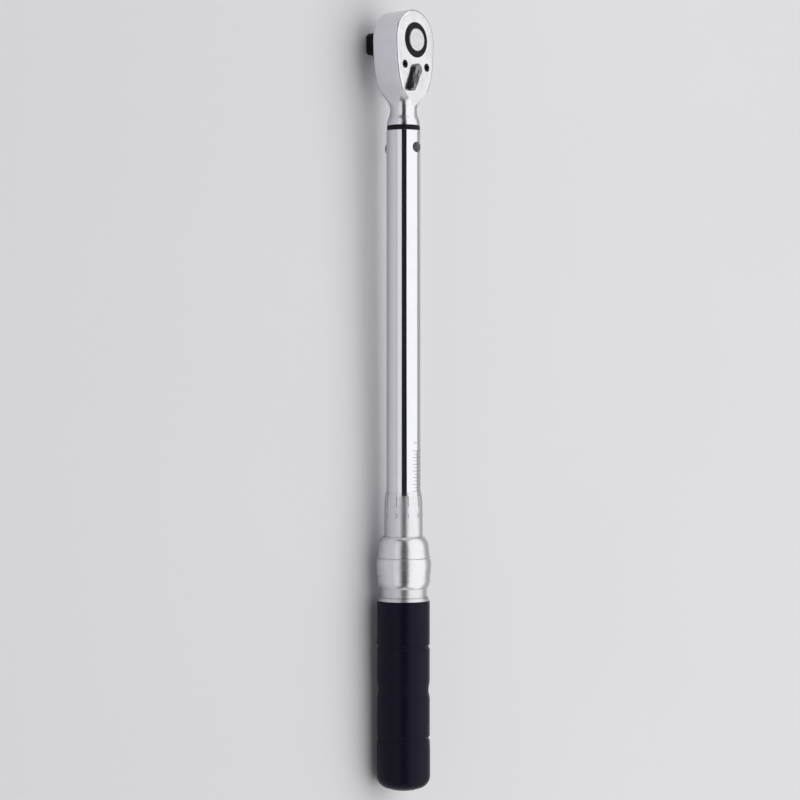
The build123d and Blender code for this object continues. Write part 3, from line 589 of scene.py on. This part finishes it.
def black_oxide(plating):
    """Blackened steel, rubbed to bare metal along its edges."""
    f = Finish("black_oxide", tuple(plating.oxide), 0.0, 0.38, Specular_IOR_Level=0.16)
    f.clouds(size=0.006, change=0.10, shade=0.25)
    f.lathe("Z", pitch=0.00018, depth=0.000004, change=0.05)
    f.grain(size=0.00025, depth=0.000004)
    f.scratches(depth=0.000005, change=-0.1)
    edge = f.edges(plating.edge_wear, low=0.86, high=0.99)
    patchy = f.spread(
        f.noise(f.place(), scale=900, detail=4, roughness=0.6), 0.35, 0.6, 0.35, 1
    )
    rubbed = f.math("MULTIPLY", edge, patchy)
    f.tint(rubbed, (0.15, 0.15, 0.155))
    f.rub(rubbed, -0.12)
    f.tree.links.new(f.math("MULTIPLY", rubbed, 0.9), f.shader.inputs["Metallic"])
    return f.done()


def black_screws(plating):
    """Blackened socket screws with turned heads."""
    f = Finish("black_screws", tuple(plating.oxide), 0.0, 0.4, Specular_IOR_Level=0.12)
    f.clouds(size=0.002, change=0.08, shade=0.3)
    f.grain(size=0.00016, depth=0.000005)
    edge = f.edges(plating.edge_wear * 0.5, low=0.86, high=0.99)
    f.tint(edge, (0.05, 0.05, 0.055), 0.5)
    # painted shade: the sockets and the seams round the heads darkened by the ambient occlusion
    # mask
    f.tint(f.crevice(0.0008), (0.004, 0.004, 0.004), 0.8)
    return f.done()


def satin_steel(plating):
    """Satin button with faint turned rings."""
    f = Finish("satin_steel", times(plating.chrome, 0.98), 1, 0.3)
    f.clouds(size=0.005, change=0.07, shade=0.05)
    f.lathe("Z", pitch=0.00013, depth=0.0000025, change=0.05)
    f.scratches(depth=0.000004, change=0.1)
    edge = f.edges(plating.edge_wear * 0.7)
    f.rub(edge, -0.12)
    # painted shade round the button's foot and in its corners, from the ambient occlusion mask
    f.tint(f.crevice(0.0008), CREVICE_SHADE, 0.5)
    return f.done()


def dark_chrome(plating):
    """Dark nickel lever, brighter where a thumb has rubbed it."""
    f = Finish("dark_chrome", (0.22, 0.22, 0.235), 1, 0.15)
    f.clouds(size=0.004, change=0.08, shade=0.2)
    f.grain(size=0.00028, depth=0.000005)
    f.scratches(depth=0.000004, change=0.1)
    edge = f.edges(plating.edge_wear, low=0.86, high=0.99)
    f.tint(edge, (0.42, 0.42, 0.44), 0.9)
    f.rub(edge, -0.06)
    # painted shade in the lever's corners, from the ambient occlusion mask
    f.tint(f.crevice(0.0012), (0.02, 0.02, 0.022), 0.8)
    return f.done()


def dark_pin(plating):
    """Ground end of the pivot pin, in dark steel, with painted shade in its corners."""
    f = Finish("dark_pin", (0.115, 0.115, 0.125), 1, 0.32)
    f.clouds(size=0.003, change=0.08, shade=0.3)
    f.lathe("Z", pitch=0.00012, depth=0.000004, centre=(PIVOT_X, 0, 0), change=0.06)
    f.grain(size=0.0002, depth=0.000003)
    # painted shade in the pin's corners, from the ambient occlusion mask
    f.tint(f.crevice(0.0009), (0.012, 0.012, 0.012), 0.9)
    edge = f.edges(plating.edge_wear * 0.6, low=0.86, high=0.99)
    f.tint(edge, (0.35, 0.35, 0.36), 0.6)
    return f.done()


def machined_steel(name, plating, shade, roughness, axis, pitch, oiled=0.0):
    """Machined steel inside the wrench: tool marks and a film of grease."""
    f = Finish(name, times(plating.steel, shade), 1, roughness)
    f.clouds(size=0.006, change=0.08, shade=0.12)
    f.lathe(axis, pitch=pitch, depth=0.000004, change=0.06)
    f.scratches(depth=0.000004, change=0.08)
    if oiled:
        film = f.spread(f.noise(f.place(), scale=110, detail=4, roughness=0.6), 0.42, 0.58)
        f.tint(film, (0.16, 0.12, 0.07), oiled)
        f.rub(film, -0.12)
    edge = f.edges(plating.edge_wear * 0.6)
    f.rub(edge, -0.08)
    f.tint(edge, times(plating.steel, 1.3), 0.7)
    return f.done()


def spring_steel(plating):
    """Oiled spring wire with draw marks and heat tint."""
    f = Finish("spring_steel", times(plating.steel, 0.62), 1, 0.33)
    f.clouds(size=0.005, change=0.08, shade=0.2)
    f.grain(size=0.00022, depth=0.000004, change=0.05)
    heat = f.spread(f.noise(f.place(), scale=60, detail=3, roughness=0.5), 0.42, 0.62)
    f.tint(heat, (0.20, 0.15, 0.10), 0.5)
    f.draw_lines("X", pitch=0.0002, depth=0.000003, turn=(0.3, 0.2, 0.1))
    return f.done()


def ball_steel(plating):
    """Lapped bearing steel with tiny haul marks."""
    f = Finish("ball_steel", times(plating.steel, 1.45), 1, 0.1)
    f.clouds(size=0.0015, change=0.06, shade=0.08)
    f.scratches(depth=0.0000015, change=0.15)
    f.grain(size=0.0001, depth=0.0000006)
    return f.done()


def moulded_plastic(name, colour, roughness, depth):
    """Hard black moulding: spark grain, palm-polished patches and pale rubbed edges."""
    f = Finish(name, tuple(colour), 0, roughness, Specular_IOR_Level=0.15)
    f.shader.inputs["Specular Tint"].default_value = (0.84, 0.81, 1.0, 1)
    f.clouds(size=0.02, change=-0.07, shade=0.12)
    f.grain(size=0.00042, depth=depth, change=0.06)
    f.bump(f.noise(f.place(scale=(0.5, 1, 1)), scale=55, detail=2, roughness=0.5), 0.00003)
    f.scratches(depth=0.000006, change=0.12)
    edge = f.edges(0.0005, low=0.88, high=0.99)
    f.rub(edge, -0.08)
    f.tint(edge, tuple(c * 2.2 + 0.004 for c in colour), 0.7)
    seams = f.crevice(0.0015)
    patchy = f.spread(f.noise(f.place(), scale=700, detail=4, roughness=0.7), 0.4, 0.7)
    dust = f.math("MULTIPLY", seams, patchy)
    f.tint(dust, (0.06, 0.056, 0.052), 0.35)
    return f.done()


def seal_rubber(colour):
    """Moulded rubber ring with a slight bloom."""
    f = Finish("seal_rubber", tuple(colour), 0, 0.32, Specular_IOR_Level=0.16)
    f.clouds(size=0.004, change=0.12, shade=0.15)
    f.grain(size=0.0003, depth=0.000009, change=0.08)
    f.lathe("X", pitch=0.0004, depth=0.000006)
    bloom = f.spread(f.noise(f.place(), scale=420, detail=5, roughness=0.7), 0.5, 0.75)
    f.tint(bloom, (0.02, 0.02, 0.02), 0.6)
    return f.done()


def mark_ink(colour):
    """Filled lettering, slightly worn."""
    f = Finish("mark_ink", tuple(colour), 0, 0.5, Specular_IOR_Level=0.4)
    worn = f.spread(f.noise(f.place(), scale=2600, detail=4, roughness=0.65), 0.52, 0.72)
    f.tint(worn, times(colour, 1.35), 0.8)
    f.rub(worn, 0.15)
    f.grain(size=0.00015, depth=0.000004)
    return f.done()


# ---------------------------------------------------------------- scale numbers


def flat_label(text, height, thickness):
    """A bmesh of upright text, centred on the origin, lying in XY."""
    curve = bpy.data.curves.new("label", "FONT")
    curve.body = text
    curve.size = height / CAPITAL_SHARE
    curve.align_x = "CENTER"
    curve.align_y = "CENTER"
    curve.extrude = thickness / 2
    curve.resolution_u = 4
    writer = bpy.data.objects.new("label", curve)
    bpy.context.scene.collection.objects.link(writer)
    bpy.context.view_layer.update()
    mesh = bpy.data.meshes.new_from_object(
        writer.evaluated_get(bpy.context.evaluated_depsgraph_get())
    )
    bpy.data.objects.remove(writer)
    bpy.data.curves.remove(curve)
    label = bmesh.new()
    label.from_mesh(mesh)
    bpy.data.meshes.remove(mesh)
    bmesh.ops.remove_doubles(label, verts=label.verts, dist=height * WELD_SHARE)
    middle = sum((v.co for v in label.verts), Vector()) / len(label.verts)
    low = min(v.co.x for v in label.verts)
    high = max(v.co.x for v in label.verts)
    bottom = min(v.co.y for v in label.verts)
    top = max(v.co.y for v in label.verts)
    shift = Vector((-(low + high) / 2, -(bottom + top) / 2, -middle.z))
    bmesh.ops.translate(label, verts=label.verts, vec=shift)
    return label


def wrap_label(label, x, turn, radius_at):
    """Bends a flat label round the wrench's axis, its top towards the head."""
    widest = max(abs(v.co.x) for v in label.verts)
    strips = max(1, int(widest / STRIP_WIDTH))
    for n in range(-strips, strips + 1):
        bmesh.ops.bisect_plane(
            label, geom=label.verts[:] + label.edges[:] + label.faces[:],
            plane_co=(n * widest / (strips + 1), 0, 0), plane_no=(1, 0, 0),
        )
    for v in label.verts:
        across, up, lift = v.co
        radius = radius_at(x - up) + lift
        angle = turn + across / radius_at(x)
        v.co = (x - up, radius * math.sin(angle), radius * math.cos(angle))
    bmesh.ops.recalc_face_normals(label, faces=label.faces)


def gather(name, labels, body, material):
    """Joins labels into one piece that rides on body."""
    whole = bmesh.new()
    for label in labels:
        part = bpy.data.meshes.new("part")
        label.to_mesh(part)
        label.free()
        whole.from_mesh(part)
        bpy.data.meshes.remove(part)
    mesh = bpy.data.meshes.new(name)
    whole.to_mesh(mesh)
    whole.free()
    mesh.materials.append(material)
    piece = bpy.data.objects.new(name, mesh)
    bpy.context.scene.collection.objects.link(piece)
    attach(piece, body)


def thimble_radius(x):
    """Radius of the thimble's marked band."""
    if x < BEVEL_END_X:
        share = (x - THIMBLE_LOW.x) / (BEVEL_END_X - THIMBLE_LOW.x)
        return BEVEL_START_R + (BEVEL_END_R - BEVEL_START_R) * share
    share = (x - BEVEL_END_X) / (BAND_END_X - BEVEL_END_X)
    return BEVEL_END_R + (BAND_END_R - BEVEL_END_R) * share


# ---------------------------------------------------------------- studio


def hang(name, matrix, width, height, radiance, tint=(1, 1, 1)):
    """Adds a soft rectangular light that the camera doesn't see."""
    light = bpy.data.lights.new(name, "AREA")
    light.shape = "RECTANGLE"
    light.size = width
    light.size_y = height
    light.energy = radiance * math.pi * width * height
    light.color = tint
    rig = bpy.data.objects.new(name, light)
    rig.matrix_world = matrix
    rig.visible_camera = False
    bpy.context.scene.collection.objects.link(rig)


def side_panel(name, near_edge, far_edge, middle_x, radiance, tint=(1, 1, 1)):
    """A long panel between two lines parallel to the wrench, facing it."""
    low, high = Vector((0, *near_edge)), Vector((0, *far_edge))
    chord = high - low
    centre = (low + high) / 2
    away = Vector((1, 0, 0)).cross(chord.normalized())
    if away.dot(centre) < 0:
        away.negate()
    up = away.cross(Vector((1, 0, 0)))
    matrix = Matrix.Translation((middle_x, centre.y, centre.z)) @ Matrix(
        ((1, up.x, away.x), (0, up.y, away.y), (0, up.z, away.z))
    ).to_4x4()
    hang(name, matrix, PANEL_LENGTH, chord.length, radiance, tint)


def end_panel(name, x, radiance):
    """An upright panel off one end of the wrench, facing it."""
    side = 1 if x > 0 else -1
    matrix = Matrix.Translation((x, END_PANEL_Y, END_PANEL_HEIGHT / 2)) @ Matrix(
        ((0, 0, side), (side, 0, 0), (0, 1, 0))
    ).to_4x4()
    hang(name, matrix, END_PANEL_WIDTH, END_PANEL_HEIGHT, radiance)


def two_tone_world(name, lit, strength, seen):
    """Surroundings that light the wrench with one colour and show the camera another."""
    world = bpy.data.worlds.new(name)
    world.use_nodes = True
    tree = world.node_tree
    tree.nodes.clear()
    out = tree.nodes.new("ShaderNodeOutputWorld")
    mix = tree.nodes.new("ShaderNodeMixShader")
    dark = tree.nodes.new("ShaderNodeBackground")
    dark.inputs["Color"].default_value = (*lit, 1)
    dark.inputs["Strength"].default_value = strength
    pale = tree.nodes.new("ShaderNodeBackground")
    pale.inputs["Color"].default_value = (*seen, 1)
    path = tree.nodes.new("ShaderNodeLightPath")
    tree.links.new(path.outputs["Is Camera Ray"], mix.inputs[0])
    tree.links.new(dark.outputs[0], mix.inputs[1])
    tree.links.new(pale.outputs[0], mix.inputs[2])
    tree.links.new(mix.outputs[0], out.inputs["Surface"])
    return world


# ---------------------------------------------------------------- operators


class WRENCH_OT_finish_head(bpy.types.Operator):
    """Plates the forged head and its cover, blacks the screws, and dresses the seal and the pin"""

    bl_idname = "wrench.finish_head"
    bl_label = "Finish Head"

    def execute(self, context):
        plating = context.scene.wrench_plating
        dress("ratchet_head", forged_chrome(plating))
        dress("cover_plate", plate_chrome(plating))
        dress("cover_screws", black_screws(plating))
        dress("neck_seal", seal_rubber(context.scene.wrench_grip.rubber))
        bend_between("neck_seal", "bending_seal")
        dress("pivot_pin", dark_pin(plating))
        return {"FINISHED"}


class WRENCH_OT_finish_drive(bpy.types.Operator):
    """Finishes the ratchet wheel, its quick release, the lever and the pawl"""

    bl_idname = "wrench.finish_drive"
    bl_label = "Finish Drive"

    def execute(self, context):
        plating = context.scene.wrench_plating
        dress("drive_gear", black_oxide(plating))
        dress("release_button", satin_steel(plating))
        dress("release_pin", machined_steel("pin_steel", plating, 1.1, 0.22, "Z", 0.0001))
        balls = ball_steel(plating)
        for node in ("drive_ball", "detent_ball", "thrust_ball"):
            dress(node, balls)
        dress("reversing_lever", dark_chrome(plating))
        dress("pawl", machined_steel("pawl_steel", plating, 0.8, 0.3, "Z", 0.00016, 0.4))
        return {"FINISHED"}


class WRENCH_OT_finish_tube(bpy.types.Operator):
    """Polishes the tube and inks its engraved scale"""

    bl_idname = "wrench.finish_tube"
    bl_label = "Finish Tube"

    def execute(self, context):
        dress("tube", tube_chrome(context.scene.wrench_plating, context.scene.wrench_marks))
        return {"FINISHED"}


class WRENCH_OT_finish_mechanism(bpy.types.Operator):
    """Finishes the springs, the click parts and the screw"""

    bl_idname = "wrench.finish_mechanism"
    bl_label = "Finish Mechanism"

    def execute(self, context):
        plating = context.scene.wrench_plating
        springs = spring_steel(plating)
        for node in (
            "main_spring", "button_spring", "detent_spring", "ring_spring", "lock_fingers"
        ):
            dress(node, springs)
        squeeze("main_spring")
        squeeze("button_spring")
        squeeze("ring_spring")
        click = machined_steel("tool_steel", plating, 0.78, 0.28, "X", 0.00016, 0.45)
        for node in ("tilt_block", "spring_plunger"):
            dress(node, click)
        turned = machined_steel("nut_steel", plating, 1.0, 0.3, "X", 0.0002, 0.3)
        for node in ("spring_follower", "setting_screw", "tube_nut", "lock_nut"):
            dress(node, turned)
        dress("nut_pin", machined_steel("nut_pin_steel", plating, 1.1, 0.25, "Z", 0.0001))
        return {"FINISHED"}


class WRENCH_OT_finish_handle(bpy.types.Operator):
    """Plates the thimble, the lock ring and the neck, and finishes the grip"""

    bl_idname = "wrench.finish_handle"
    bl_label = "Finish Handle"

    def execute(self, context):
        plating = context.scene.wrench_plating
        grip = context.scene.wrench_grip
        dress("thimble", thimble_chrome(plating, context.scene.wrench_marks))
        dress("lock_ring", ring_chrome(plating))
        dress("handle_core", neck_chrome(plating))
        dress("grip", moulded_plastic(
            "grip_plastic", grip.plastic, grip.roughness, grip.grain_depth
        ))
        dress("end_plug", moulded_plastic(
            "plug_plastic", grip.plug, grip.roughness + 0.06, grip.grain_depth
        ))
        return {"FINISHED"}


class WRENCH_OT_number_tube(bpy.types.Operator):
    """Puts the main scale's numbers on the tube, one at every second turn"""

    bl_idname = "wrench.number_tube"
    bl_label = "Number Tube"

    def execute(self, context):
        marks = context.scene.wrench_marks
        labels = []
        for n in range(0, SCREW_TURNS + 1, TICKS_PER_NUMBER):
            number = str(marks.lowest + marks.step * n)
            label = flat_label(number, marks.tube_height, INK_THICKNESS)
            wrap_label(label, FIRST_TICK_X - SCREW_PITCH * n, NUMBER_TURN, lambda x: TUBE_R)
            labels.append(label)
        unit = flat_label("N·m", marks.tube_height * UNIT_SHARE, INK_THICKNESS)
        wrap_label(unit, FIRST_TICK_X - SCREW_PITCH * UNIT_TURNS, 0, lambda x: TUBE_R)
        labels.append(unit)
        gather("tube_numbers", labels, "tube_body", mark_ink(marks.ink))
        return {"FINISHED"}


class WRENCH_OT_number_thimble(bpy.types.Operator):
    """Puts a digit behind each graduation of the thimble"""

    bl_idname = "wrench.number_thimble"
    bl_label = "Number Thimble"

    def execute(self, context):
        marks = context.scene.wrench_marks
        labels = []
        for n in range(DIGITS):
            label = flat_label(str(n), marks.thimble_height, INK_THICKNESS)
            wrap_label(label, DIGIT_X, -2 * math.pi * n / DIGITS, thimble_radius)
            labels.append(label)
        gather("thimble_digits", labels, "handle", mark_ink(times(marks.ink, 0.7)))
        return {"FINISHED"}


class WRENCH_OT_set_studio(bpy.types.Operator):
    """Lays the floor, hangs the light panels and aims the camera"""

    bl_idname = "wrench.set_studio"
    bl_label = "Set Studio"

    def execute(self, context):
        studio = context.scene.wrench_studio
        scene = context.scene
        grid = bmesh.new()
        bmesh.ops.create_grid(grid, x_segments=8, y_segments=8, size=studio.floor_size / 2)
        lean = math.atan2(GRIP_LOW.z - DRIVE_TIP.z, GRIP_HIGH.x)
        bmesh.ops.rotate(grid, verts=grid.verts, matrix=Matrix.Rotation(-lean, 3, "Y"))
        bmesh.ops.translate(grid, verts=grid.verts, vec=(0, 0, DRIVE_TIP.z - FLOOR_GAP))
        mesh = bpy.data.meshes.new("floor")
        grid.to_mesh(mesh)
        grid.free()
        floor = bpy.data.objects.new("floor", mesh)
        scene.collection.objects.link(floor)
        paint = Finish("floor_paper", tuple(studio.floor), 0, 0.85, Specular_IOR_Level=0.15)
        paint.tint(
            paint.spread(paint.noise(paint.place(), scale=3.0, detail=3, roughness=0.5), 0.35, 0.7),
            times(studio.floor, 0.985),
        )
        mesh.materials.append(paint.done())

        middle = (cad_box[0][0] + cad_box[1][0]) / 2
        side_panel("main_panel", (-0.839, 1.479), (1.393, 0.975), middle, studio.main_light)
        side_panel(
            "near_panel", (-1.7, -0.12), (-1.7, 0.87), middle, studio.near_light,
            tint=(0.97, 0.955, 1.0),
        )
        side_panel("far_panel", (1.5, 0.1), (1.45, 0.98), middle, studio.far_light)
        end_panel("head_panel", -1.7, studio.end_light)
        end_panel("grip_panel", 2.1, studio.end_light)

        scene.world = two_tone_world(
            "studio_dark", lit=(0.85, 0.95, 1.15), strength=0.022, seen=(0.62, 0.62, 0.64)
        )
        scene.view_settings.view_transform = "Standard"

        right = Vector(CAMERA_RIGHT).normalized()
        back = Vector((0, -right.z, right.y))
        up = back.cross(right)
        target = Vector(CAMERA_TARGET) - CAMERA_SHIFT * right
        camera = bpy.data.cameras.new("camera")
        camera.lens = studio.lens
        camera.sensor_width = 36
        camera.clip_end = 100
        eye = bpy.data.objects.new("camera", camera)
        axes = Matrix((right, up, back)).transposed().to_4x4()
        eye.matrix_world = Matrix.Translation(target + back * studio.camera_distance) @ axes
        scene.collection.objects.link(eye)
        scene.camera = eye
        return {"FINISHED"}


STEPS = (
    WRENCH_OT_finish_head,
    WRENCH_OT_finish_drive,
    WRENCH_OT_finish_tube,
    WRENCH_OT_finish_mechanism,
    WRENCH_OT_finish_handle,
    WRENCH_OT_number_tube,
    WRENCH_OT_number_thimble,
    WRENCH_OT_set_studio,
)


class WRENCH_PT_workshop(bpy.types.Panel):
    """Lists the wrench's finishing steps and settings"""

    bl_idname = "WRENCH_PT_workshop"
    bl_label = "Torque Wrench"
    bl_space_type = "VIEW_3D"
    bl_region_type = "UI"
    bl_category = "Wrench"

    def draw(self, context):
        layout = self.layout
        for step in STEPS:
            layout.operator(step.bl_idname)
        for group in SETTINGS:
            box = layout.box()
            for name in SETTINGS[group].__annotations__:
                box.prop(getattr(context.scene, group), name)


SETTINGS = {
    "wrench_plating": PlatingSettings,
    "wrench_grip": GripSettings,
    "wrench_marks": MarkSettings,
    "wrench_studio": StudioSettings,
}


def register():
    for group, kind in SETTINGS.items():
        bpy.utils.register_class(kind)
        setattr(bpy.types.Scene, group, PointerProperty(type=kind))
    for step in STEPS:
        bpy.utils.register_class(step)
    bpy.utils.register_class(WRENCH_PT_workshop)


def unregister():
    bpy.utils.unregister_class(WRENCH_PT_workshop)
    for step in reversed(STEPS):
        bpy.utils.unregister_class(step)
    for group, kind in SETTINGS.items():
        delattr(bpy.types.Scene, group)
        bpy.utils.unregister_class(kind)


def main():
    register()
    for step in STEPS:
        family, name = step.bl_idname.split(".")
        getattr(getattr(bpy.ops, family), name)()


if __name__ == "__main__":
    main()
